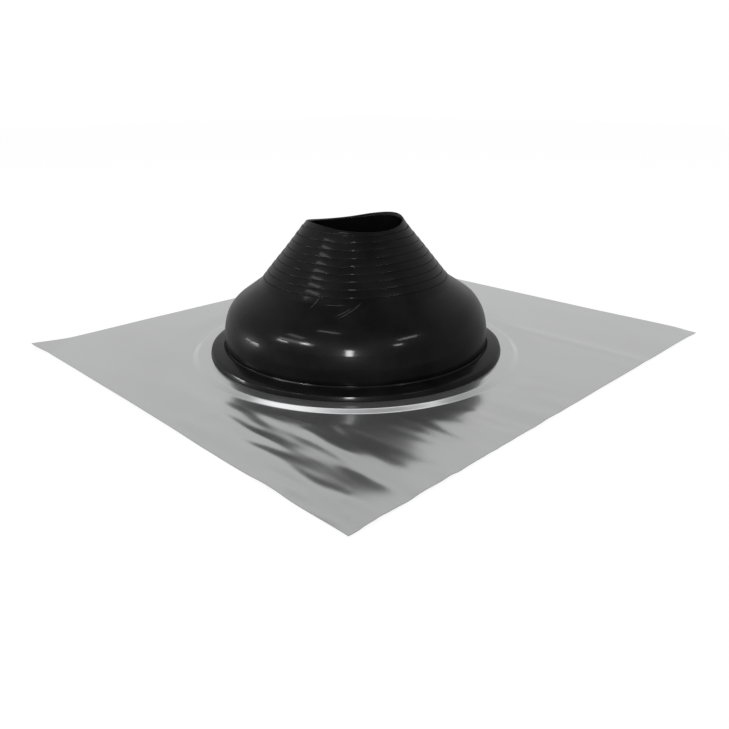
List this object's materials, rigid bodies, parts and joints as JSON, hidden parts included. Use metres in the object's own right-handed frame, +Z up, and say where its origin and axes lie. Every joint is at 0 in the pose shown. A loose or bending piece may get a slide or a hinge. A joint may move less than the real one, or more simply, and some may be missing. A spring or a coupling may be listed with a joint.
{
  "type": "pipe flashing boot",
  "caption": "Roof flashing that seals round a pipe: a stepped rubber cone on a wide dome, moulded on to a soft aluminium base sheet.",
  "frame": {"origin": "the boot's axis in the plane that the sheet lies on", "axes": "+Z up along the pipe; +X along the sheet's long side towards its wider margin; +Y along the short side"},
  "size_m": [0.6, 0.54, 0.1565],
  "materials": {
    "aluminium_sheet": "satin mill finish, soft rolled sheet",
    "boot_rubber": "moulded EPDM, smooth with a soft gloss"
  },
  "bodies": {
    "root": {"base_sheet": "aluminium_sheet", "boot": "boot_rubber"}
  },
  "joints": []
}
